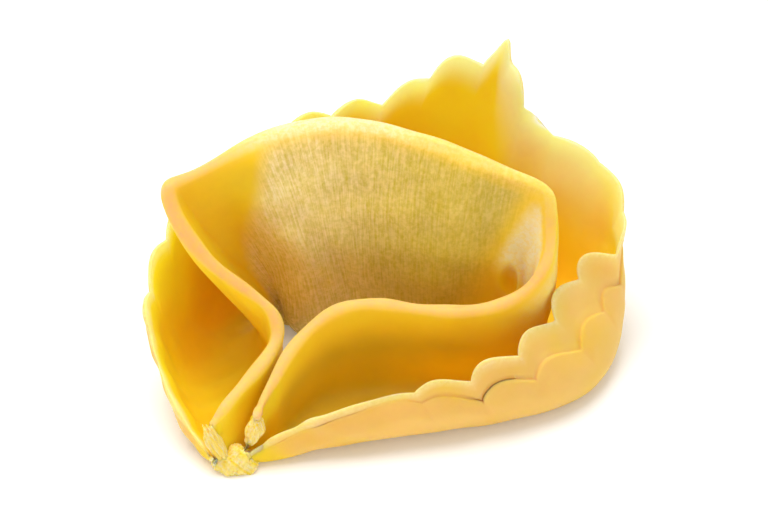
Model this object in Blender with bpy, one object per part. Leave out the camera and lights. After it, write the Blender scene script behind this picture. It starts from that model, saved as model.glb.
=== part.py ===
"""Tortellino: one square of egg pasta folded on its diagonal over a filling and bent into a ring.

All sizes are in millimetres. +Z is up, +X runs along the longest side and the
origin is on the table under the middle of the piece. "d" is the distance along
the folded edge, from the pinched left end (0) to the pinched right end (FOLD_LENGTH).
At every d the pasta follows one bent section: folded edge, pouch wall, foot,
heel and the fluted rim that stands back up as a brim.
"""
import bmesh
import bpy
import numpy as np

NAME = "tortellino"
PASTA_COLOUR = (0.85, 0.56, 0.14, 1.0)
PASTA_ROUGHNESS = 0.55

FOLD_LENGTH = 95.0        # folded edge, end to end
APEX = 46.5               # d of the free corner of the square, the tip of the brim
SHEET = 0.55              # one layer of pasta; two lie together everywhere but at the rim
SOLE = 0.55               # height of the middle of the double layer where it is pressed on the table
FLUTE = 4.5               # spacing of the cutter's flutes
FIRST_LEFT = 1.5          # first notch left of the tip
FIRST_RIGHT = 4.2         # first notch right of the tip
FLUTE_DEPTH = 1.4         # how deep each flute is cut
FLUTE_LEAN = 1.35         # above 1 the round of each flute leans away from the tip
PER_FLUTE = 5             # sections made for each flute
SPIKE = 1.3               # extra length of the tip at the free corner
FILLING_IN = 3.0          # swelling of the pouch toward the middle of the ring
FILLING_OUT = 3.0         # swelling toward the brim
TO_MIDDLE = (0.1, -0.86)   # moves the drawing so that the origin is under the middle of the piece
FINE = 140                # steps each section is measured in
FOLD_STEPS = (0.0, 0.1, 0.4, 0.8)                               # round the folded edge
WALL_STEPS = np.array([0.17, 0.36, 0.55, 0.73, 0.88, 1.0])      # down the pouch wall
BRIM_STEPS = np.array([0.07, 0.16, 0.29, 0.47, 0.72, 1.0])      # over the sole and up the brim
SOFTEN = 24               # passes that round the two bends of each section
SHARP = 0.8               # radians; edges sharper than this stay crisp
SEAM = 0.000002           # metres; corners closer than this are one after joining

# The four lines the pasta follows, as (d, x, y[, z]).
FOLD = [
    (0, -14.3, -12.0, 4.6), (6.5, -11.1, -8.8, 6.9), (10.5, -8.8, -5.9, 8.7),
    (13, -9.1, -4.8, 10.3), (19.8, -14.4, -3.7, 15.0), (24.5, -17.3, -1.4, 19.0),
    (26.2, -17.3, -0.6, 19.9), (27.5, -16.6, 0.0, 20.0), (29.5, -15.2, 1.0, 20.0),
    (34, -11.7, 3.4, 20.7), (40, -6.0, 5.0, 21.7), (46.5, 0.2, 4.4, 21.7),
    (57.8, 10.5, 1.9, 18.9), (60.8, 12.8, 1.3, 17.8), (62, 13.0, 0.9, 17.1),
    (64, 13.0, 0.2, 15.2), (66.8, 12.6, -1.2, 12.8), (69.2, 11.3, -2.3, 11.1),
    (77.5, 3.3, -3.9, 10.0), (84.3, -3.4, -3.5, 10.0), (89, -7.3, -6.1, 8.5),
    (95, -10.3, -11.6, 5.2),
]
FOOT = [
    (0, -12.9, -12.0), (5, -11.3, -8.6), (10, -9.6, -4.0), (16, -9.2, 0.2),
    (22, -9.6, 4.0), (31, -7.6, 7.0), (38, -4.0, 7.6), (46.5, 1.5, 6.8),
    (57, 9.6, 4.2), (64, 12.6, 1.4), (70, 11.2, -1.0), (77, 4.9, -2.2),
    (84, -2.8, -3.2), (88, -6.6, -5.7), (91.5, -9.1, -9.2), (95, -11.5, -11.7),
]
HEEL = [
    (0, -13.4, -12.4), (5, -14.2, -9.7), (10, -15.2, -6.4), (15, -15.9, -3.0),
    (22, -15.0, 2.6), (27, -12.8, 6.4), (32, -9.0, 9.2), (38, -4.6, 10.8),
    (46.5, 3.4, 11.2), (54, 10.9, 9.2), (61, 16.7, 4.3), (66, 17.5, 0.1),
    (71, 14.6, -3.8), (77, 8.1, -6.3), (84, 0.8, -7.9), (89, -5.3, -9.3),
    (95, -11.6, -12.1),
]
RIM = [
    (0, -13.9, -13.0, 1.7), (5.5, -17.2, -9.0, 4.3), (9, -18.7, -5.8, 6.6),
    (12.5, -19.6, -2.4, 9.5), (17, -18.5, 1.2, 12.7), (20, -16.8, 3.9, 15.0),
    (24, -13.3, 6.8, 16.9), (30, -6.4, 10.6, 18.4), (33.5, -2.7, 12.4, 18.3),
    (37.5, 1.1, 13.8, 18.7), (41.5, 5.0, 14.4, 21.1), (44, 7.3, 14.5, 21.4),
    (46.5, 9.5, 14.2, 21.7), (50, 11.2, 12.0, 19.1), (53, 13.1, 12.4, 15.5),
    (56, 17.1, 10.6, 13.7), (59, 19.3, 7.4, 11.8), (61.5, 18.7, 3.3, 10.9),
    (64, 15.8, 1.9, 10.5), (67.5, 13.2, -1.8, 9.4), (71.5, 10.8, -5.5, 8.6),
    (75.5, 7.4, -8.2, 7.8), (79.5, 2.9, -9.5, 6.8), (85, -3.4, -10.7, 5.1),
    (90, -7.8, -11.6, 3.7), (95, -11.6, -12.4, 1.7),
]


def smoothstep(x, low, high):
    t = np.clip((x - low) / (high - low), 0.0, 1.0)
    return t * t * (3.0 - 2.0 * t)


def hump(x, centre, width):
    return np.exp(-((x - centre) / width) ** 2)


def unit(v):
    return v / np.maximum(np.linalg.norm(v, axis=-1, keepdims=True), 1e-9)


def natural_cubic(knots, points, at):
    """Smooth curve through the points, one at each knot, read at the places asked for."""
    count = len(knots)
    gap = np.diff(knots)
    a = np.eye(count)
    b = np.zeros(points.shape)
    for i in range(1, count - 1):
        a[i, i - 1:i + 2] = gap[i - 1], 2.0 * (gap[i - 1] + gap[i]), gap[i]
        b[i] = 6.0 * ((points[i + 1] - points[i]) / gap[i] - (points[i] - points[i - 1]) / gap[i - 1])
    bend = np.linalg.solve(a, b)
    k = np.clip(np.searchsorted(knots, at, side="right") - 1, 0, count - 2)
    span = gap[k][:, None]
    right = ((at - knots[k]) / gap[k])[:, None]
    left = 1.0 - right
    curve = left * points[k] + right * points[k + 1]
    return curve + ((left ** 3 - left) * bend[k] + (right ** 3 - right) * bend[k + 1]) * span ** 2 / 6.0


def line(control, d):
    """Points of one of the four lines at the distances d; lines without a height lie on the sole."""
    rows = np.array([row if len(row) == 4 else row + (SOLE,) for row in control], float)
    return natural_cubic(rows[:, 0], rows[:, 1:], d)


def rim_length(d):
    """Distance along the rim from the tip, negative to the left of it."""
    fine = np.linspace(0.0, FOLD_LENGTH, 2000)
    steps = np.linalg.norm(np.diff(line(RIM, fine), axis=0), axis=1)
    run = np.concatenate([[0.0], np.cumsum(steps)])
    return np.interp(d, fine, run) - np.interp(APEX, fine, run)


def flute_phase(w):
    """Count of flutes away from the tip, on either side; whole numbers at the notches."""
    return np.where(w < 0.0, -w - FIRST_LEFT, w - FIRST_RIGHT) / FLUTE


def section_places():
    """Distances d of all sections: the same number in every flute, so each notch has its own."""
    fine = np.linspace(0.0, FOLD_LENGTH, 4000)
    w = rim_length(fine)
    steps = np.arange(-20 * PER_FLUTE, 20 * PER_FLUTE) / PER_FLUTE
    left = steps * FLUTE - FIRST_LEFT
    right = steps * FLUTE + FIRST_RIGHT
    places = np.concatenate([left[left < -0.4], [-0.4, 0.0, 0.4], right[right > 0.4]])
    places = np.interp(places, w, fine)
    return np.concatenate([[0.0, 0.2, 0.6], places[(places > 1.0) & (places < FOLD_LENGTH - 1.0)],
                           FOLD_LENGTH - np.array([0.6, 0.2, 0.0])])


def middle_surface(d):
    """Middle of the double layer, one row of FINE points per section, with lengths along it."""
    fold, foot, heel, rim = line(FOLD, d), line(FOOT, d), line(HEEL, d), line(RIM, d)
    out = unit((heel - foot) * (1.0, 1.0, 0.0))
    brim = np.linalg.norm(rim - heel, axis=1, keepdims=True)
    bow = smoothstep(d, 26, 36) * (1.0 - smoothstep(d, 54, 64))
    wall = 0.5 * (fold + foot) - out * bow[:, None]
    round_out = (0.05 + 0.13 * smoothstep(d, 59, 66) - 0.06 * smoothstep(d, 69, 76))[:, None]
    side = 0.5 * (heel + rim) + (out - (0.0, 0.0, 0.5)) * round_out * brim
    slack = 1.0 + 6.0 * smoothstep(d, 4.0, 11.0) * (1.0 - smoothstep(d, 20.0, 30.0))
    rows, lengths, feet = [], [], []
    for soft, *knots in zip(slack, fold, wall, foot, heel, side, rim):
        knots = np.array(knots)
        t = np.concatenate([[0.0], np.cumsum(np.sqrt(np.linalg.norm(np.diff(knots, axis=0), axis=1)))])
        at = np.linspace(0.0, t[-1], FINE)
        row = natural_cubic(t, knots, at)
        for _ in range(round(SOFTEN * soft)):
            row[1:-1] = 0.25 * row[:-2] + 0.5 * row[1:-1] + 0.25 * row[2:]
        run = np.concatenate([[0.0], np.cumsum(np.linalg.norm(np.diff(row, axis=0), axis=1))])
        even = np.linspace(0.0, run[-1], FINE)
        rows.append(np.stack([np.interp(even, run, row[:, k]) for k in range(3)], axis=1))
        feet.append(np.interp(t[2], at, run))
        lengths.append(run[-1])
    return np.array(rows), np.array(feet), np.array(lengths)


def filling(d):
    """Share of the full swelling the pouch has here; the filling lies in the middle of the fold."""
    return smoothstep(d, 29, 36) * (1.0 - smoothstep(d, 51, 61))


def rim_trim(d):
    """How much each section is cut back at the rim: the flutes, less the spike at the tip.

    The flutes run out toward both pinched ends and are pressed shallow at the back right.
    """
    w = rim_length(d)
    share = flute_phase(w) % 1.0
    flutes = 1.0 - np.sin(np.pi * share ** FLUTE_LEAN) ** 0.75
    fade = smoothstep(d, 9.0, 13.5) * (1.0 - smoothstep(d, 78.0, 83.0)) * (1.0 - 0.8 * hump(d, 55.5, 4.5))
    tip = hump(w, 0.0, 0.6)
    return FLUTE_DEPTH * flutes * fade * (1.0 - tip) - SPIKE * tip


def lap(d):
    """How far the outer layer stops short of the rim: most at the right."""
    right = 2.5 * smoothstep(d, 57.0, 64.0) * (1.0 - 0.55 * smoothstep(d, 66.0, 75.0))
    return 0.7 + (0.7 * smoothstep(d, 14.0, 24.0) + right) * (1.0 - smoothstep(d, 76.0, 83.0))


def edge_taper(reach, edge=0.5):
    """Share of a layer's thickness left this far in from its cut edge, where the cutter squeezed it."""
    return edge + (1.0 - edge) * smoothstep(reach, 0.0, 2.2)


def outer_step(d):
    """Share of the outer layer's thickness at its edge: toward the pinched ends it is pressed flush."""
    return 0.12 + 0.4 * smoothstep(d, 14.0, 24.0) * (1.0 - smoothstep(d, 76.0, 83.0))


def thin_end(d):
    """Share of the thickness left: the two cut ends are rounded off."""
    t = np.clip(np.minimum(d, FOLD_LENGTH - d) / 1.1, 0.0, 1.0)
    return 0.3 + 0.7 * np.sqrt(1.0 - (1.0 - t) ** 2)


def half_thickness(a, foot, layer, swell):
    """Distance from the middle surface to the outside: round at the folded edge, swollen by the filling."""
    rounded = layer * np.sqrt(1.0 - (1.0 - np.clip(a / SHEET, 0.0, 1.0)) ** 2)
    x = np.clip(a / foot, 0.0, 1.0)
    return rounded + swell * (4.0 * x * (1.0 - x)) ** 0.75


def gusset(d, a):
    """Movement that fills the inside of the tight bend at the right end of the pouch."""
    reach = 2.4 * hump(d, 63.0, 2.6) * smoothstep(a, -1.0, 8.0) * (1.0 - smoothstep(a, 10.0, 16.0))
    front = -0.6 + 0.4 * smoothstep(d, 62.0, 66.0)
    return np.stack([-reach, front * reach, np.zeros_like(reach)], axis=-1)


def ring_of_sections():
    """Closed sections of the pasta, one row of points each."""
    d = section_places()
    middle, feet, lengths = middle_surface(d)
    along, across = np.gradient(middle, axis=0), np.gradient(middle, axis=1)
    normal = unit(np.cross(along, across))
    ends = lengths - rim_trim(d)
    laps = np.minimum(lap(d), 0.45 * (lengths - feet))
    trough = np.linalg.norm(line(HEEL, d) - line(FOOT, d), axis=1)
    layers = np.clip(0.5 * trough - 0.1, 0.12, SHEET)
    fill, thin, steps = filling(d), thin_end(d), outer_step(d)
    rows = []
    for i in range(len(d)):
        foot, end, stop, layer = feet[i], ends[i], ends[i] - laps[i], layers[i]
        wall = np.concatenate([FOLD_STEPS, SHEET + (foot - SHEET) * WALL_STEPS])
        inner = foot + (end - 0.4 - foot) * BRIM_STEPS
        outer = foot + (stop - 0.25 - foot) * BRIM_STEPS
        profile = [(a, half_thickness(a, foot, layer, FILLING_OUT * fill[i])) for a in wall]
        profile += [(a, layer * edge_taper(end - a)) for a in inner]
        profile += [(end - 0.05, 0.4 * layer), (end - 0.05, 0.1 * layer)]
        profile += [(stop, 0.0), (stop, -0.8 * SHEET * steps[i])]
        profile += [(a, -SHEET * edge_taper(stop - a, steps[i])) for a in outer[::-1]]
        profile += [(a, -half_thickness(a, foot, SHEET, FILLING_IN * fill[i]))
                    for a in wall[:0:-1]]
        a, offset = np.array(profile).T
        offset = offset * thin[i]
        run = np.linspace(0.0, lengths[i], FINE)
        at = np.stack([np.interp(a, run, middle[i, :, k]) for k in range(3)], axis=1)
        beyond = np.maximum(a - lengths[i], 0.0)[:, None] * unit(middle[i, -1] - middle[i, -3])
        side = unit(np.stack([np.interp(a, run, normal[i, :, k]) for k in range(3)], axis=1))
        inside = (np.arange(len(a)) > len(wall) + len(inner))[:, None]
        rows.append(at + beyond + side * offset[:, None] + inside * gusset(d[i], a))
    rows = np.array(rows)
    rows[..., :2] += TO_MIDDLE
    rows[..., 2] = np.maximum(rows[..., 2], 0.0)
    return rows


def add_solid(name, points, faces, parts):
    mesh = bpy.data.meshes.new(name)
    mesh.from_pydata((points / 1000.0).tolist(), [], faces)
    shell = bmesh.new()
    shell.from_mesh(mesh)
    bmesh.ops.triangulate(shell, faces=shell.faces)
    bmesh.ops.recalc_face_normals(shell, faces=shell.faces)
    if shell.calc_volume(signed=True) < 0.0:
        bmesh.ops.reverse_faces(shell, faces=shell.faces)
    shell.to_mesh(mesh)
    shell.free()
    solid = bpy.data.objects.new(name, mesh)
    parts.objects.link(solid)
    return solid


def add_folded_pasta(name, parts):
    rows = ring_of_sections()
    count, size = rows.shape[:2]
    faces = []
    for i in range(count - 1):
        for j in range(size):
            k = (j + 1) % size
            faces.append((i * size + j, i * size + k, (i + 1) * size + k, (i + 1) * size + j))
    faces.append(tuple(range(size)))
    faces.append(tuple((count - 1) * size + j for j in range(size)))
    return add_solid(name, rows.reshape(-1, 3), faces, parts)


def add_pinch(name, parts):
    """The two ends squeezed together: a flattened lump of pasta, resting on the table."""
    centre, reach = (-12.6, -11.9, 0.6), (1.9, 1.0, 1.5)
    ball = bmesh.new()
    bmesh.ops.create_icosphere(ball, subdivisions=2, radius=1.0)
    points = np.array([centre + np.array(v.co) * reach for v in ball.verts])
    points[:, :2] += TO_MIDDLE
    points[:, 2] = np.maximum(points[:, 2], 0.0)
    faces = [tuple(v.index for v in face.verts) for face in ball.faces]
    ball.free()
    return add_solid(name, points, faces, parts)


def join(solid, other):
    """Make both one body, with nothing left inside where the pasta overlaps itself."""
    union = solid.modifiers.new("union", "BOOLEAN")
    union.operation = "UNION"
    union.solver = "EXACT"
    union.use_self = True
    union.object = other
    shapes = bpy.context.evaluated_depsgraph_get()
    joined = bpy.data.meshes.new_from_object(solid.evaluated_get(shapes))
    solid.modifiers.clear()
    bpy.data.objects.remove(other, do_unlink=True)
    shell = bmesh.new()
    shell.from_mesh(joined)
    bmesh.ops.remove_doubles(shell, verts=shell.verts, dist=SEAM)
    bmesh.ops.dissolve_degenerate(shell, edges=shell.edges, dist=SEAM)
    loose = [v for v in shell.verts if not v.link_faces]
    bmesh.ops.delete(shell, geom=loose, context="VERTS")
    bmesh.ops.triangulate(shell, faces=shell.faces)
    shell.to_mesh(joined)
    shell.free()
    solid.data = joined


def egg_pasta():
    material = bpy.data.materials.new("egg_pasta")
    material.use_nodes = True
    shader = material.node_tree.nodes["Principled BSDF"]
    shader.inputs["Base Color"].default_value = PASTA_COLOUR
    shader.inputs["Roughness"].default_value = PASTA_ROUGHNESS
    shader.inputs["Metallic"].default_value = 0.0
    return material


def main():
    for thing in list(bpy.data.objects):
        bpy.data.objects.remove(thing, do_unlink=True)
    parts = bpy.data.collections.new(NAME)
    bpy.context.scene.collection.children.link(parts)
    pasta = add_folded_pasta(NAME, parts)
    join(pasta, add_pinch("pinch", parts))
    pasta.data.materials.clear()
    pasta.data.materials.append(egg_pasta())
    pasta.data.shade_smooth()
    pasta.data.set_sharp_from_angle(angle=SHARP)


main()
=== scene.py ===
"""One tortellino of fresh egg pasta on a pale table, in soft light.

The pasta is drawn as in the part's own source: four lines, each a function of d, the
distance along the folded edge, carry a bent section that is lofted round the ring.
Lengths are in millimetres until a mesh is made. Here the loft is fine enough for the
flutes, the torn ends, the dent beside the filling and the slackness of the dough, and
it carries the masks that the dough's material is painted by.
"""
import math

import bmesh
import bpy
import numpy as np
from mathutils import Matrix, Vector


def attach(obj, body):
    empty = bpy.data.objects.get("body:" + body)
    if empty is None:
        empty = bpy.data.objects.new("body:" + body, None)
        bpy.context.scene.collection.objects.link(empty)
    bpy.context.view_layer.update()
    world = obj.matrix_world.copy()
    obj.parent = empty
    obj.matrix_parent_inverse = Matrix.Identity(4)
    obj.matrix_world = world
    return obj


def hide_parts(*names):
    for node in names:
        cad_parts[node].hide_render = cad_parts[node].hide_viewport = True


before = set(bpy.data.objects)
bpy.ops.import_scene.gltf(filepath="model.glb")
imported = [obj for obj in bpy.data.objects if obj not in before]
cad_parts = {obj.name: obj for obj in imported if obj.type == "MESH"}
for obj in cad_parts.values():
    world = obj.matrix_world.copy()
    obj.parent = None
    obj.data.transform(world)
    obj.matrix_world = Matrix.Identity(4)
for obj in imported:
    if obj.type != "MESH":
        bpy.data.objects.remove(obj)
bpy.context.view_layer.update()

NODE = "tortellino"

FOLD_LENGTH = 95.0        # folded edge, end to end
APEX = 46.5               # d of the free corner of the square, the tip of the brim
SHEET = 0.55              # one layer of pasta; two lie together everywhere but at the rim
SOLE = 0.55               # height of the middle of the double layer where it is pressed on the table
FLUTE = 4.5               # spacing of the cutter's flutes
FIRST_LEFT = 1.5          # first notch left of the tip
FIRST_RIGHT = 4.2         # first notch right of the tip
FLUTE_DEPTH = 1.4         # how deep each flute is cut
FLUTE_LEAN = 1.35         # above 1 the round of each flute leans away from the tip
SPIKE = 1.3               # extra length of the tip at the free corner
FILLING_IN = 3.0          # swelling of the pouch toward the middle of the ring
FILLING_OUT = 3.0         # swelling toward the brim
TO_MIDDLE = (0.1, -0.86)   # moves the drawing so that the origin is under the middle of the piece
FINE = 200                # steps each section is measured in
SOFTEN = 48               # passes that round the two bends of each section
SLACKEN = 500             # passes that draw out the dough inside the tight bend

PER_FLUTE = 18            # sections made for each flute
WALL_POINTS = 52          # points of a section down each side of the wall
BRIM_POINTS = 46          # points over the sole and up each side of the brim
DENT = (59.3, 9.5)        # d and a of the dent beside the filling

# The four lines the pasta follows, as (d, x, y[, z]).
FOLD = [
    (0, -14.3, -12.0, 4.6), (6.5, -11.1, -8.8, 6.9), (10.5, -8.8, -5.9, 8.7),
    (13, -9.1, -4.8, 10.3), (19.8, -14.4, -3.7, 15.0), (24.5, -17.3, -1.4, 19.0),
    (26.2, -17.3, -0.6, 19.9), (27.5, -16.6, 0.0, 20.0), (29.5, -15.2, 1.0, 20.0),
    (34, -11.7, 3.4, 20.7), (40, -6.0, 5.0, 21.7), (46.5, 0.2, 4.4, 21.7),
    (57.8, 10.5, 1.9, 18.9), (60.8, 12.8, 1.3, 17.8), (62, 13.0, 0.9, 17.1),
    (64, 13.0, 0.2, 15.2), (66.8, 12.6, -1.2, 12.8), (69.2, 11.3, -2.3, 11.1),
    (77.5, 3.3, -3.9, 10.0), (84.3, -3.4, -3.5, 10.0), (89, -7.3, -6.1, 8.5),
    (95, -10.3, -11.6, 5.2),
]
FOOT = [
    (0, -12.9, -12.0), (5, -11.3, -8.6), (10, -9.6, -4.0), (16, -9.2, 0.2),
    (22, -9.6, 4.0), (31, -7.6, 7.0), (38, -4.0, 7.6), (46.5, 1.5, 6.8),
    (57, 9.6, 4.2), (64, 12.6, 1.4), (70, 11.2, -1.0), (77, 4.9, -2.2),
    (84, -2.8, -3.2), (88, -6.6, -5.7), (91.5, -9.1, -9.2), (95, -11.5, -11.7),
]
HEEL = [
    (0, -13.4, -12.4), (5, -14.2, -9.7), (10, -15.2, -6.4), (15, -15.9, -3.0),
    (22, -15.0, 2.6), (27, -12.8, 6.4), (32, -9.0, 9.2), (38, -4.6, 10.8),
    (46.5, 3.4, 11.2), (54, 10.9, 9.2), (61, 16.7, 4.3), (66, 17.5, 0.1),
    (71, 14.6, -3.8), (77, 8.1, -6.3), (84, 0.8, -7.9), (89, -5.3, -9.3),
    (95, -11.6, -12.1),
]
RIM = [
    (0, -13.9, -13.0, 1.7), (5.5, -17.2, -9.0, 4.3), (9, -18.7, -5.8, 6.6),
    (12.5, -19.6, -2.4, 9.5), (17, -18.5, 1.2, 12.7), (20, -16.8, 3.9, 15.0),
    (24, -13.3, 6.8, 16.9), (30, -6.4, 10.6, 18.4), (33.5, -2.7, 12.4, 18.3),
    (37.5, 1.1, 13.8, 18.7), (41.5, 5.0, 14.4, 21.1), (44, 7.3, 14.5, 21.4),
    (46.5, 9.5, 14.2, 21.7), (50, 11.2, 12.0, 19.1), (53, 13.1, 12.4, 15.5),
    (56, 17.1, 10.6, 13.7), (59, 19.3, 7.4, 11.8), (61.5, 18.7, 3.3, 10.9),
    (64, 15.8, 1.9, 10.5), (67.5, 13.2, -1.8, 9.4), (71.5, 10.8, -5.5, 8.6),
    (75.5, 7.4, -8.2, 7.8), (79.5, 2.9, -9.5, 6.8), (85, -3.4, -10.7, 5.1),
    (90, -7.8, -11.6, 3.7), (95, -11.6, -12.4, 1.7),
]


# ---- curves and small helpers ----

def smoothstep(x, low, high):
    t = np.clip((x - low) / (high - low), 0.0, 1.0)
    return t * t * (3.0 - 2.0 * t)


def hump(x, centre, width):
    return np.exp(-((x - centre) / width) ** 2)


def unit(v):
    return v / np.maximum(np.linalg.norm(v, axis=-1, keepdims=True), 1e-9)


def natural_cubic(knots, points, at):
    """Smooth curve through the points, one at each knot, read at the places asked for."""
    count = len(knots)
    gap = np.diff(knots)
    a = np.eye(count)
    b = np.zeros(points.shape)
    for i in range(1, count - 1):
        a[i, i - 1:i + 2] = gap[i - 1], 2.0 * (gap[i - 1] + gap[i]), gap[i]
        b[i] = 6.0 * ((points[i + 1] - points[i]) / gap[i] - (points[i] - points[i - 1]) / gap[i - 1])
    bend = np.linalg.solve(a, b)
    k = np.clip(np.searchsorted(knots, at, side="right") - 1, 0, count - 2)
    span = gap[k][:, None]
    right = ((at - knots[k]) / gap[k])[:, None]
    left = 1.0 - right
    curve = left * points[k] + right * points[k + 1]
    return curve + ((left ** 3 - left) * bend[k] + (right ** 3 - right) * bend[k + 1]) * span ** 2 / 6.0


def line(control, d):
    """Points of one of the four lines at the distances d; lines without a height lie on the sole."""
    rows = np.array([row if len(row) == 4 else row + (SOLE,) for row in control], float)
    return natural_cubic(rows[:, 0], rows[:, 1:], d)


def waver(u, v, seed, waves=7):
    """Smooth unevenness between about -1 and 1, one wave across each unit of u and v."""
    rng = np.random.default_rng(seed)
    total = np.zeros(np.broadcast(u, v).shape)
    for _ in range(waves):
        turn, size, start = rng.uniform(0, math.pi), rng.uniform(0.6, 1.6), rng.uniform(0, 2 * math.pi)
        total += np.sin(2 * math.pi * size * (u * math.cos(turn) + v * math.sin(turn)) + start)
    return total / math.sqrt(waves)


# ---- the fold ----

def rim_length(d):
    """Distance along the rim from the tip, negative to the left of it."""
    fine = np.linspace(0.0, FOLD_LENGTH, 2000)
    steps = np.linalg.norm(np.diff(line(RIM, fine), axis=0), axis=1)
    run = np.concatenate([[0.0], np.cumsum(steps)])
    return np.interp(d, fine, run) - np.interp(APEX, fine, run)


def flute_phase(w):
    """Count of flutes away from the tip, on either side; whole numbers at the notches."""
    return np.where(w < 0.0, -w - FIRST_LEFT, w - FIRST_RIGHT) / FLUTE


def section_places():
    """Distances d of all sections: the same number in every flute, so each notch has its own."""
    fine = np.linspace(0.0, FOLD_LENGTH, 4000)
    w = rim_length(fine)
    steps = np.arange(-20 * PER_FLUTE, 20 * PER_FLUTE) / PER_FLUTE
    left = steps * FLUTE - FIRST_LEFT
    right = steps * FLUTE + FIRST_RIGHT
    places = np.concatenate([left[left < -0.1], [0.0], right[right > 0.1]])
    places = np.interp(places, w, fine)
    ends = 1.2 * (1.0 - np.cos(np.linspace(0.0, math.pi / 2, 7)[:-1]))
    return np.concatenate([ends, places[(places > 1.3) & (places < FOLD_LENGTH - 1.3)],
                           FOLD_LENGTH - ends[::-1]])


def middle_surface(d):
    """Middle of the double layer, one row of FINE points per section, with lengths along it."""
    fold, foot, heel, rim = line(FOLD, d), line(FOOT, d), line(HEEL, d), line(RIM, d)
    out = unit((heel - foot) * (1.0, 1.0, 0.0))
    brim = np.linalg.norm(rim - heel, axis=1, keepdims=True)
    bow = smoothstep(d, 26, 36) * (1.0 - smoothstep(d, 54, 64))
    wall = 0.5 * (fold + foot) - out * bow[:, None]
    round_out = (0.05 + 0.13 * smoothstep(d, 59, 66) - 0.06 * smoothstep(d, 69, 76))[:, None]
    side = 0.5 * (heel + rim) + (out - (0.0, 0.0, 0.5)) * round_out * brim
    slack = 1.0 + 6.0 * smoothstep(d, 4.0, 11.0) * (1.0 - smoothstep(d, 20.0, 30.0))
    rows, lengths, feet = [], [], []
    for soft, *knots in zip(slack, fold, wall, foot, heel, side, rim):
        knots = np.array(knots)
        t = np.concatenate([[0.0], np.cumsum(np.sqrt(np.linalg.norm(np.diff(knots, axis=0), axis=1)))])
        at = np.linspace(0.0, t[-1], FINE)
        row = natural_cubic(t, knots, at)
        for _ in range(round(SOFTEN * soft)):
            row[1:-1] = 0.25 * row[:-2] + 0.5 * row[1:-1] + 0.25 * row[2:]
        run = np.concatenate([[0.0], np.cumsum(np.linalg.norm(np.diff(row, axis=0), axis=1))])
        even = np.linspace(0.0, run[-1], FINE)
        rows.append(np.stack([np.interp(even, run, row[:, k]) for k in range(3)], axis=1))
        feet.append(np.interp(t[2], at, run))
        lengths.append(run[-1])
    return np.array(rows), np.array(feet), np.array(lengths)


def filling(d):
    """Share of the full swelling the pouch has here; the filling lies in the middle of the fold."""
    return smoothstep(d, 29, 36) * (1.0 - smoothstep(d, 51, 61))


def rim_trim(d):
    """How much each section is cut back at the rim: the flutes, less the spike at the tip.

    The flutes run out toward both pinched ends and are pressed shallow at the back right.
    """
    w = rim_length(d)
    share = flute_phase(w) % 1.0
    flutes = 1.0 - np.sin(np.pi * share ** FLUTE_LEAN) ** 0.75
    fade = smoothstep(d, 9.0, 13.5) * (1.0 - smoothstep(d, 78.0, 83.0)) * (1.0 - 0.8 * hump(d, 55.5, 4.5))
    tip = hump(w, 0.0, 0.6)
    return FLUTE_DEPTH * flutes * fade * (1.0 - tip) - SPIKE * tip


def lap(d):
    """How far the outer layer stops short of the rim: most at the right."""
    right = 2.5 * smoothstep(d, 57.0, 64.0) * (1.0 - 0.55 * smoothstep(d, 66.0, 75.0))
    return 0.7 + (0.7 * smoothstep(d, 14.0, 24.0) + right) * (1.0 - smoothstep(d, 76.0, 83.0))


def edge_taper(reach, edge=0.5):
    """Share of a layer's thickness left this far in from its cut edge, where the cutter squeezed it."""
    return edge + (1.0 - edge) * smoothstep(reach, 0.0, 2.2)


def outer_step(d):
    """Share of the outer layer's thickness at its edge: toward the pinched ends it is pressed flush."""
    return 0.12 + 0.4 * smoothstep(d, 14.0, 24.0) * (1.0 - smoothstep(d, 76.0, 83.0))


def thin_end(d):
    """Share of the thickness left: the two cut ends are rounded off."""
    t = np.clip(np.minimum(d, FOLD_LENGTH - d) / 1.1, 0.0, 1.0)
    return 0.3 + 0.7 * np.sqrt(1.0 - (1.0 - t) ** 2)


def half_thickness(a, foot, layer, swell):
    """Distance from the middle surface to the outside: round at the folded edge, swollen by the filling."""
    rounded = layer * np.sqrt(1.0 - (1.0 - np.clip(a / SHEET, 0.0, 1.0)) ** 2)
    x = np.clip(a / foot, 0.0, 1.0)
    return rounded + swell * (4.0 * x * (1.0 - x)) ** 0.75


def gusset(d, a):
    """Movement that fills the inside of the tight bend at the right end of the pouch."""
    reach = 2.4 * hump(d, 63.0, 2.6) * smoothstep(a, -1.0, 8.0) * (1.0 - smoothstep(a, 10.0, 16.0))
    front = -0.6 + 0.4 * smoothstep(d, 62.0, 66.0)
    return np.stack([-reach, front * reach, np.zeros_like(reach)], axis=-1)


def cut_edge(end, top, bottom, steps):
    """A cut edge of the dough with its corners worn round, from the top of a layer to its bottom."""
    turn = np.linspace(0.0, math.pi, steps)
    corner = 0.5 * (top - bottom)
    reach = 0.28 * np.sin(turn) ** 0.5 - 0.28
    return list(zip(end + reach, bottom + corner * (1.0 + np.cos(turn))))


def outer_edge(stop, thickness):
    """Edge of the outer layer: pressed down on the layer inside it and worn round on its free corner."""
    turn = np.linspace(0.0, math.pi / 2, 7)
    return list(zip(stop - 0.3 * (1.0 - np.cos(turn)), -thickness * np.sin(turn)))


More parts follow.
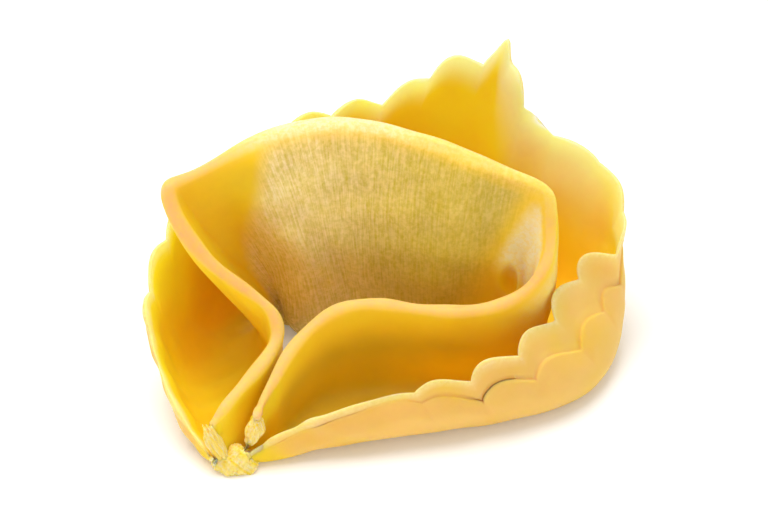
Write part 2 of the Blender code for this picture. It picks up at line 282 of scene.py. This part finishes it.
def sections():
    """Profile of every section, as distance along it and distance off the middle surface.

    Each runs from the folded edge down the side that faces the brim, out to the rim, and
    back underneath and up the side that faces the hole.
    """
    d = section_places()
    middle, feet, lengths = middle_surface(d)
    ends = lengths - rim_trim(d)
    laps = np.minimum(lap(d), 0.45 * (lengths - feet))
    trough = np.linalg.norm(line(HEEL, d) - line(FOOT, d), axis=1)
    layers = np.clip(0.5 * trough - 0.1, 0.12, SHEET)
    fill, steps = filling(d), outer_step(d)
    round_steps = SHEET * (1.0 - np.cos(np.linspace(0.0, math.pi / 2, 9)))
    down = np.linspace(0.0, 1.0, WALL_POINTS)[1:]
    up = np.linspace(0.0, 1.0, BRIM_POINTS)[1:] ** 1.1
    profiles = []
    for i in range(len(d)):
        foot, end, stop, layer = feet[i], ends[i], ends[i] - laps[i], layers[i]
        wall = np.concatenate([round_steps, SHEET + (foot - SHEET) * down])
        inner = foot + (end - 0.45 - foot) * up
        outer = foot + (stop - 0.45 - foot) * up
        profile = [(a, half_thickness(a, foot, layer, FILLING_OUT * fill[i])) for a in wall]
        profile += [(a, layer * edge_taper(end - a)) for a in inner]
        profile += cut_edge(end, layer * edge_taper(0.0), 0.0, 9)
        profile += [(end - 0.3 - (laps[i] - 0.3) * t, 0.0) for t in (0.1, 0.4, 0.7)]
        profile += outer_edge(stop, SHEET * steps[i])
        profile += [(a, -SHEET * edge_taper(stop - a, steps[i])) for a in outer[::-1]]
        profile += [(a, -half_thickness(a, foot, SHEET, FILLING_IN * fill[i]))
                    for a in wall[:0:-1]]
        profiles.append(profile)
    rim_at = len(wall) + len(inner) + 4
    return d, middle, feet, lengths, np.array(profiles), rim_at


def ring_points():
    """Every point of the loft, with what it needs to be detailed and painted."""
    d, middle, feet, lengths, profiles, rim_at = sections()
    a, offset = profiles[..., 0], profiles[..., 1] * thin_end(d)[:, None]
    along, across = np.gradient(middle, axis=0), np.gradient(middle, axis=1)
    normal = unit(np.cross(along, across))
    points = np.empty(a.shape + (3,))
    for i in range(len(d)):
        run = np.linspace(0.0, lengths[i], FINE)
        at = np.stack([np.interp(a[i], run, middle[i, :, k]) for k in range(3)], axis=1)
        beyond = np.maximum(a[i] - lengths[i], 0.0)[:, None] * unit(middle[i, -1] - middle[i, -3])
        side = unit(np.stack([np.interp(a[i], run, normal[i, :, k]) for k in range(3)], axis=1))
        points[i] = at + beyond + side * offset[i][:, None]
    inside = np.broadcast_to(np.arange(a.shape[1]) >= rim_at, a.shape)
    points += inside[..., None] * gusset(d[:, None], a)
    points[..., :2] += TO_MIDDLE
    info = {"d": np.broadcast_to(d[:, None], a.shape), "a": a, "x": a / feet[:, None],
            "inside": inside, "to_rim": (lengths - rim_trim(d))[:, None] - a,
            "lap": np.broadcast_to(lap(d)[:, None], a.shape)}
    return points, info


def slacken_corner(points, info):
    """Draw the dough inside the tight bend at the right out into one soft facet, as a film would hang."""
    d, a = info["d"], info["a"]
    hold = info["inside"] * (1.0 - smoothstep(a, 11.0, 15.0)) * smoothstep(a, 0.3, 0.9)
    hold = hold * smoothstep(d, 54.5, 58.0) * (1.0 - smoothstep(d, 69.5, 73.0))
    rows = np.flatnonzero(hold.max(axis=1) > 0.0)
    part = slice(rows[0] - 1, rows[-1] + 2)
    soft, share = points[part], hold[part][..., None]
    for _ in range(SLACKEN):
        soft[1:-1, 1:-1] += share[1:-1, 1:-1] * (0.25 * (soft[:-2, 1:-1] + soft[2:, 1:-1] + soft[1:-1, :-2]
                                                         + soft[1:-1, 2:]) - soft[1:-1, 1:-1])
    return points


def surface_normals(points):
    around = np.roll(points, -1, axis=1) - np.roll(points, 1, axis=1)
    along = np.gradient(points, axis=0)
    normal = unit(np.cross(along, around))
    return -normal if (normal * (points - points.mean(axis=(0, 1)))).sum() < 0.0 else normal


def loosen(points, info):
    """The unevenness of dough: slack walls, the dent beside the filling, torn ends."""
    d, a, x, inside = info["d"], info["a"], info["x"], info["inside"]
    away = np.hypot(d - DENT[0], a - DENT[1])
    out = surface_normals(points)
    belly = inside * (x < 1.0) * filling(d)
    push = 0.10 * waver(d / 14.0, a / 12.0, 3) + 0.05 * waver(d / 5.0, a / 6.0, 4)
    push += 0.12 * belly * waver(d / 6.0, a / 5.0, 5)
    push += inside * (0.3 * hump(away, 1.8, 0.7) - 0.15 * hump(away, 0.0, 1.2))
    push += 1.9 * inside * hump(d, 32.0, 4.0) * hump(x, 0.9, 0.25)
    torn = np.maximum(1.0 - smoothstep(d, 0.0, 1.6), smoothstep(d, FOLD_LENGTH - 1.8, FOLD_LENGTH))
    push += 0.22 * torn * waver(d / 1.5, a / 1.3, 6)
    points = points + out * push[..., None]
    points[..., 2] = np.maximum(points[..., 2], 0.0)
    return points


# ---- meshes ----

def new_piece(name, points, faces):
    mesh = bpy.data.meshes.new(name)
    mesh.from_pydata((points / 1000.0).tolist(), [], faces)
    shell = bmesh.new()
    shell.from_mesh(mesh)
    bmesh.ops.recalc_face_normals(shell, faces=shell.faces)
    if shell.calc_volume(signed=True) < 0.0:
        bmesh.ops.reverse_faces(shell, faces=shell.faces)
    shell.to_mesh(mesh)
    shell.free()
    mesh.shade_smooth()
    piece = bpy.data.objects.new(name, mesh)
    bpy.context.scene.collection.objects.link(piece)
    return piece


def set_mask(piece, name, values):
    layer = piece.data.attributes.new(name, "FLOAT", "POINT")
    layer.data.foreach_set("value", np.ascontiguousarray(values, dtype=np.float32).ravel())


def add_ring():
    points, info = ring_points()
    points = loosen(slacken_corner(points, info), info)
    count, size = points.shape[:2]
    faces = [(i * size + j, i * size + (j + 1) % size, (i + 1) * size + (j + 1) % size, (i + 1) * size + j)
             for i in range(count - 1) for j in range(size)]
    faces.append(tuple(range(size)))
    faces.append(tuple((count - 1) * size + j for j in range(size)))
    ring = new_piece("folded_dough", points.reshape(-1, 3), faces)
    d, a, x, inside, to_rim = (info[key] for key in ("d", "a", "x", "inside", "to_rim"))
    left_edge, right_edge = 35.6 - 13.0 * x, 59.6 - 6.7 * x
    shows = smoothstep(d, left_edge - 1.0, left_edge + 1.4)
    shows = shows * (1.0 - smoothstep(d, right_edge - 2.6, right_edge + 1.6))
    shows = shows * smoothstep(x, -0.02, 0.06) * (1.0 - smoothstep(x, 0.9, 1.15))
    # darker filling toward the right end of the pouch, and painted shade toward the bottom of the belly
    darker_filling = inside * np.clip(0.85 * smoothstep(d, 34.0, 54.0) + 0.2 * smoothstep(x, 0.05, 0.6), 0.0, 1.0)
    # painted shade with a mottled, crumbly tone at the bottom of the belly near the table
    low = inside * (1.0 - 0.9 * smoothstep(d, 33.0, 41.0)) * smoothstep(x, 0.62, 1.0) * (1.0 - smoothstep(x, 0.97, 1.06)) * smoothstep(d, 24, 29) * (1.0 - smoothstep(d, 56, 60))
    # painted highlight on the facet inside the right corner, which faces up
    corner = smoothstep(d, 59.5 - 0.4 * a, 61.5 - 0.4 * a) * (1.0 - smoothstep(d, 66.0, 71.0))
    ridge = inside * corner * smoothstep(a, 0.3, 1.5) * (1.0 - smoothstep(a, 7.0, 10.0))
    crease = hump(a, 0.0, 0.38)
    arms = 1.0 - smoothstep(d, 30.0, 38.0) * (1.0 - smoothstep(d, 61.0, 67.0))
    near_end = np.minimum(d, FOLD_LENGTH - d)
    # painted light: the shaded walls near the ends and round the dent are painted paler and scatter deeper; the thin
    # brim outside is paler and scatters deeper too
    pocket = hump(d, 60.0, 4.5) * smoothstep(x, 0.45, 0.8)
    painted_light_walls = (x < 1.0) * np.maximum(1.0 - smoothstep(near_end, 11.0, 17.0), pocket)
    thin_and_painted_light = np.where(inside, painted_light_walls, smoothstep(x, 1.3, 2.0))
    # painted highlight along the rim edge
    edge = 0.5 * (1.0 - smoothstep(to_rim, 0.2, 0.9))
    # painted highlight along the crest over the filling
    crest = crease * (1.0 - arms) * (1.0 - 0.6 * smoothstep(d, 44.0, 52.0))
    # painted highlight on the arm's shoulder beside the right corner
    shoulder = 0.4 * ~inside * hump(d, 67.0, 3.5) * smoothstep(x, 0.03, 0.15) * (1.0 - smoothstep(x, 0.35, 0.7))
    # painted shade: darker dough in the troughs under the front arm and the left wall, deepest at the right corner
    deep_shade = hump(d, 63.5, 3.0) * smoothstep(x, 0.6, 0.9)
    shade = smoothstep(d, 70.0, 76.0) + 0.1 * (1.0 - smoothstep(d, 22.0, 27.0)) + deep_shade
    shade = shade * ~inside * smoothstep(x, 0.12, 0.5) * (1.0 - smoothstep(x, 1.1, 1.6))
    shade = shade * (1.0 - 0.8 * hump(d, 75.0, 4.0) * hump(x, 0.85, 0.3))
    # painted glow: light through the single layer near the rim, through the back brim and through the front brim
    glow = 1.0 - smoothstep(to_rim, info["lap"] - 0.5, info["lap"] + 0.3)
    back = smoothstep(d, 32.0, 37.0) * (1.0 - smoothstep(d, 54.0, 61.0))
    fades = 3.0 + 6.0 * smoothstep(d, 46.0, 49.0)
    glow = np.maximum(0.55 * glow, back * (1.0 - smoothstep(to_rim / fades, 0.1, 1.0)))
    front = smoothstep(d, 67.0, 70.0) * (1.0 - smoothstep(d, 74.0, 80.0))
    glow = np.maximum(glow, 0.9 * front * (1.0 - smoothstep(to_rim, 3.0, 8.0)))
    masks = {
        "along": d,
        "across": a,
        "filling": shows,
        "low": low,
        "flour_and_highlight": np.clip(crest + ridge + shoulder + edge + (near_end < 0.3), 0.0, 1.0),
        "outside": smoothstep(x, 1.1, 1.5) * inside,
        "thin_and_painted_light": thin_and_painted_light,
        # the ends are also painted paler, as light against the shade between the arms
        "ends": 1.0 - smoothstep(near_end, 1.5, 5.0),
        "shade": shade,
        "worn_and_highlight": crease * arms,
        "painted_glow": glow * (x > 1.0) * ~inside,
        "darker_filling": darker_filling,
    }
    for name, values in masks.items():
        set_mask(ring, name, values)
    return ring


# the crumb where the two ends are squeezed together, and the cut ends of the two arms
CRUMBS = {
    "pinched_ends": ((-12.1, -12.76, 0.7), (1.85, 1.1, 1.6), 0.0),
    "left_end": ((-13.5, -13.1, 2.6), (0.7, 0.5, 2.3), -0.35),
    "right_end": ((-10.5, -12.3, 3.6), (0.75, 0.6, 1.35), 0.25),
}


def add_crumb(name, seed):
    """A torn lump of dough: its middle, its half sizes and how far it leans along X."""
    centre, reach, lean = CRUMBS[name]
    ball = bmesh.new()
    bmesh.ops.create_icosphere(ball, subdivisions=6, radius=1.0)
    way = np.array([v.co for v in ball.verts])
    strands = waver(way[:, 0] * 1.6 + way[:, 1] * 0.5, way[:, 2] * 0.7, seed)
    rough = 1.0 + 0.1 * strands + 0.03 * waver(way[:, 0] * 5.0, way[:, 1] * 4.0 + way[:, 2] * 3.0, seed + 1)
    points = way * np.array(reach) * rough[:, None]
    points[:, 0] += lean * points[:, 2]
    points += np.array(centre)
    points[:, 2] = np.maximum(points[:, 2], 0.0)
    faces = [tuple(v.index for v in face.verts) for face in ball.faces]
    ball.free()
    lump = new_piece(name, points, faces)
    nothing = np.zeros(len(points))
    pale = 0.55 + 0.3 * waver(way[:, 0] * 2.5 + way[:, 2] * 2.0, way[:, 1] * 3.0, seed + 2)
    set_mask(lump, "along", way[:, 0] * 2.0)
    set_mask(lump, "across", way[:, 2] * 2.0)
    set_mask(lump, "flour_and_highlight", np.clip(pale, 0.0, 1.0))
    for mask in ("filling", "low", "outside", "painted_glow", "thin_and_painted_light", "shade", "darker_filling", "worn_and_highlight"):
        set_mask(lump, mask, nothing)
    set_mask(lump, "ends", nothing + 1.0)
    return lump


# ---- dough ----

class Tree:
    """Short hand for wiring a material's nodes."""

    def __init__(self, material):
        material.use_nodes = True
        self.nodes = material.node_tree.nodes
        self.links = material.node_tree.links
        self.shader = self.nodes["Principled BSDF"]

    def wire(self, value, socket):
        if isinstance(value, bpy.types.NodeSocket):
            self.links.new(value, socket)
        else:
            socket.default_value = value

    def mask(self, name):
        node = self.nodes.new("ShaderNodeAttribute")
        node.attribute_name = name
        return node.outputs["Fac"]

    def maths(self, operation, first, second=0.0, clamp=False):
        node = self.nodes.new("ShaderNodeMath")
        node.operation = operation
        node.use_clamp = clamp
        self.wire(first, node.inputs[0])
        self.wire(second, node.inputs[1])
        return node.outputs[0]

    def vector(self, x, y, z=0.0):
        node = self.nodes.new("ShaderNodeCombineXYZ")
        for value, socket in zip((x, y, z), node.inputs):
            self.wire(value, socket)
        return node.outputs[0]

    def noise(self, where, scale, detail=3.0, roughness=0.5):
        node = self.nodes.new("ShaderNodeTexNoise")
        self.wire(where, node.inputs["Vector"])
        node.inputs["Scale"].default_value = scale
        node.inputs["Detail"].default_value = detail
        node.inputs["Roughness"].default_value = roughness
        return node.outputs["Fac"]

    def stretch(self, value, low, high, to_low=0.0, to_high=1.0):
        node = self.nodes.new("ShaderNodeMapRange")
        node.interpolation_type = "SMOOTHSTEP"
        for given, socket in zip((value, low, high, to_low, to_high), node.inputs):
            self.wire(given, socket)
        return node.outputs[0]

    def mix(self, share, first, second, blend="MIX"):
        node = self.nodes.new("ShaderNodeMix")
        node.data_type = "RGBA"
        node.blend_type = blend
        self.wire(share, node.inputs["Factor"])
        self.wire(first, node.inputs["A"])
        self.wire(second, node.inputs["B"])
        return node.outputs["Result"]

    def bump(self, height, strength, distance, after=None):
        node = self.nodes.new("ShaderNodeBump")
        node.inputs["Strength"].default_value = strength
        node.inputs["Distance"].default_value = distance
        self.wire(height, node.inputs["Height"])
        if after is not None:
            self.wire(after, node.inputs["Normal"])
        return node.outputs[0]


YOLK = (0.95, 0.62, 0.018, 1.0)        # plain egg dough
PAINTED_GLOW = (1.0, 0.71, 0.34, 1.0)          # painted glow of light coming through the dough: the single layer near the rim, the back brim and the front brim
PALE_AND_PAINTED_LIGHT = (1.0, 0.66, 0.02, 1.0)          # paler dough of the thin brim, also painted light on the ends, the shaded walls near the ends and the dent
PAINTED_SHADE = (0.68, 0.46, 0.02, 1.0)         # painted shade in the troughs under the brim and the arms
DRY = (0.84, 0.54, 0.14, 1.0)          # drier dough outside the brim
FLOUR_AND_HIGHLIGHT = (1.0, 0.79, 0.48, 1.0)        # worn, floury creases and cut ends, with painted highlights on the crest, the corner facet, the shoulder and the rim edge
WORN_AND_HIGHLIGHT = (0.88, 0.51, 0.19, 1.0)         # folded edge of the two arms: worn dough with a painted highlight along it
FILLED = (0.93, 0.72, 0.32, 1.0)       # dough over the filling
DARKER_FILLING = (0.66, 0.48, 0.075, 1.0)        # darker filling toward the right end, and painted shade toward the bottom of the belly
MOSS = (0.50, 0.35, 0.06, 1.0)         # darkest, greenish filling at the bottom of the belly near the table: a mottled tone with painted shade


def egg_dough():
    material = bpy.data.materials.new("egg_dough")
    tree = Tree(material)
    along, across = tree.mask("along"), tree.mask("across")
    filled, low = tree.mask("filling"), tree.mask("low")
    place = tree.nodes.new("ShaderNodeTexCoord").outputs["Object"]
    rolled = tree.vector(tree.maths("MULTIPLY", along, 4.6), tree.maths("MULTIPLY", across, 0.4))
    streaks = tree.noise(rolled, 1.0, 4.0, 0.6)
    cloud = tree.noise(place, 220.0, 3.0, 0.55)
    grain = tree.noise(place, 2600.0, 4.0, 0.65)
    crumbs = tree.noise(place, 1500.0, 5.0, 0.75)

    dry = tree.maths("MULTIPLY", tree.mask("outside"), tree.stretch(cloud, 0.25, 0.6, 0.6, 1.0))
    colour = tree.mix(dry, YOLK, DRY)
    # painted shade in the troughs
    colour = tree.mix(tree.mask("shade"), colour, PAINTED_SHADE)
    # paler thin dough, with painted light on the ends and on the shaded walls
    thin_and_painted_light = tree.maths("MAXIMUM", tree.mask("thin_and_painted_light"), tree.mask("ends"))
    colour = tree.mix(tree.maths("MULTIPLY", thin_and_painted_light, 0.95), colour, PALE_AND_PAINTED_LIGHT)
    # painted glow of light through the brim
    colour = tree.mix(tree.mask("painted_glow"), colour, PAINTED_GLOW)
    # darker filling, with painted shade toward the bottom
    stuffed = tree.mix(tree.mask("darker_filling"), FILLED, DARKER_FILLING)
    colour = tree.mix(tree.maths("MULTIPLY", filled, tree.stretch(streaks, 0.3, 0.7, 0.8, 1.0)), colour, stuffed)
    # painted shade, mottled, at the bottom of the belly
    colour = tree.mix(tree.maths("MULTIPLY", low, tree.stretch(crumbs, 0.38, 0.62, 0.35, 1.0)), colour, MOSS)
    # flour on the cut ends and creases, and painted highlights
    flour_and_highlight_share = tree.maths("MULTIPLY", tree.mask("flour_and_highlight"), tree.stretch(grain, 0.35, 0.65, 0.55, 0.95))
    colour = tree.mix(flour_and_highlight_share, colour, FLOUR_AND_HIGHLIGHT)
    # worn fold edge of the arms, with a painted highlight
    colour = tree.mix(tree.maths("MULTIPLY", tree.mask("worn_and_highlight"), tree.stretch(grain, 0.3, 0.7, 0.7, 1.0)), colour, WORN_AND_HIGHLIGHT)
    streaky = tree.maths("MULTIPLY", tree.stretch(streaks, 0.3, 0.7, -0.12, 0.1), filled)
    speckle = tree.maths("MULTIPLY", tree.stretch(grain, 0.35, 0.65, -0.09, 0.07), filled)
    streaky = tree.maths("ADD", streaky, speckle)
    tint = tree.maths("ADD", tree.stretch(cloud, 0.3, 0.7, 0.96, 1.04), streaky)
    warmth = tree.maths("ADD", tint, tree.maths("MULTIPLY", streaky, 2.0))
    colour = tree.mix(1.0, colour, tree.vector(tint, tint, warmth), "MULTIPLY")
    tree.wire(colour, tree.shader.inputs["Base Color"])

    tree.wire(tree.stretch(cloud, 0.3, 0.7, 0.42, 0.58), tree.shader.inputs["Roughness"])
    tree.shader.inputs["Subsurface Weight"].default_value = 1.0
    tree.shader.inputs["Subsurface Radius"].default_value = (1.0, 0.8, 0.15)
    depth = tree.maths("ADD", tree.maths("MULTIPLY", tree.mask("thin_and_painted_light"), 0.0014), 0.0011)
    depth = tree.maths("SUBTRACT", depth, tree.maths("MULTIPLY", tree.mask("ends"), 0.0009))
    tree.wire(depth, tree.shader.inputs["Subsurface Scale"])
    tree.shader.inputs["Specular IOR Level"].default_value = 0.15

    relief = tree.maths("MULTIPLY", streaks, tree.maths("ADD", tree.maths("MULTIPLY", filled, 0.85), 0.15))
    normal = tree.bump(relief, 0.4, 0.00012)
    normal = tree.bump(grain, 0.25, 0.00005, normal)
    normal = tree.bump(tree.maths("MULTIPLY", crumbs, low), 0.7, 0.00035, normal)
    tree.wire(normal, tree.shader.inputs["Normal"])
    return material


def table_top():
    material = bpy.data.materials.new("table_top")
    tree = Tree(material)
    tree.shader.inputs["Base Color"].default_value = (0.93, 0.93, 0.93, 1.0)
    tree.shader.inputs["Emission Color"].default_value = (1.0, 1.0, 1.0, 1.0)
    tree.shader.inputs["Emission Strength"].default_value = 0.12
    tree.shader.inputs["Roughness"].default_value = 0.7
    tree.shader.inputs["Specular IOR Level"].default_value = 0.1
    return material


# ---- stage ----

TARGET = Vector((-0.00022, -0.00086, 0.011))
CAMERA_ELEVATION = math.radians(40.0)
CAMERA_DISTANCE = 0.4
VIEW_WIDTH = 768 * 0.00008             # width of the view at the target, in metres
SENSOR = 36.0


def look_at(thing, target):
    away = thing.location - target
    thing.rotation_mode = "QUATERNION"
    thing.rotation_quaternion = away.to_track_quat("Z", "Y")


def add_camera():
    data = bpy.data.cameras.new("camera")
    data.sensor_width = SENSOR
    data.lens = SENSOR * CAMERA_DISTANCE / VIEW_WIDTH
    data.clip_start = 0.01
    camera = bpy.data.objects.new("camera", data)
    back = Vector((0.0, -math.cos(CAMERA_ELEVATION), math.sin(CAMERA_ELEVATION)))
    camera.location = TARGET + back * CAMERA_DISTANCE
    look_at(camera, TARGET)
    bpy.context.scene.collection.objects.link(camera)
    bpy.context.scene.camera = camera


def add_light(name, place, size, watts, colour=(1.0, 1.0, 1.0)):
    data = bpy.data.lights.new(name, "AREA")
    data.shape = "DISK"
    data.size = size
    data.energy = watts
    data.color = colour
    light = bpy.data.objects.new(name, data)
    light.location = place
    look_at(light, TARGET)
    bpy.context.scene.collection.objects.link(light)


def add_stage():
    bpy.ops.mesh.primitive_plane_add(size=4.0)
    floor = bpy.context.object
    floor.name = "table"
    floor.data.materials.append(table_top())
    add_light("softbox", (-0.07, 0.04, 0.45), 0.35, 1.7)
    world = bpy.data.worlds.new("studio")
    world.use_nodes = True
    sky = world.node_tree.nodes["Background"]
    sky.inputs["Color"].default_value = (1.0, 1.0, 1.0, 1.0)
    sky.inputs["Strength"].default_value = 0.62
    bpy.context.scene.world = world
    bpy.context.scene.view_settings.view_transform = "Standard"


def main():
    add_camera()
    add_stage()
    dough = egg_dough()
    crumbs = [add_crumb(name, seed) for name, seed in zip(CRUMBS, (8, 20, 30))]
    for piece in (add_ring(), *crumbs):
        piece.data.materials.append(dough)
        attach(piece, "root")
        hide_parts(NODE)


main()
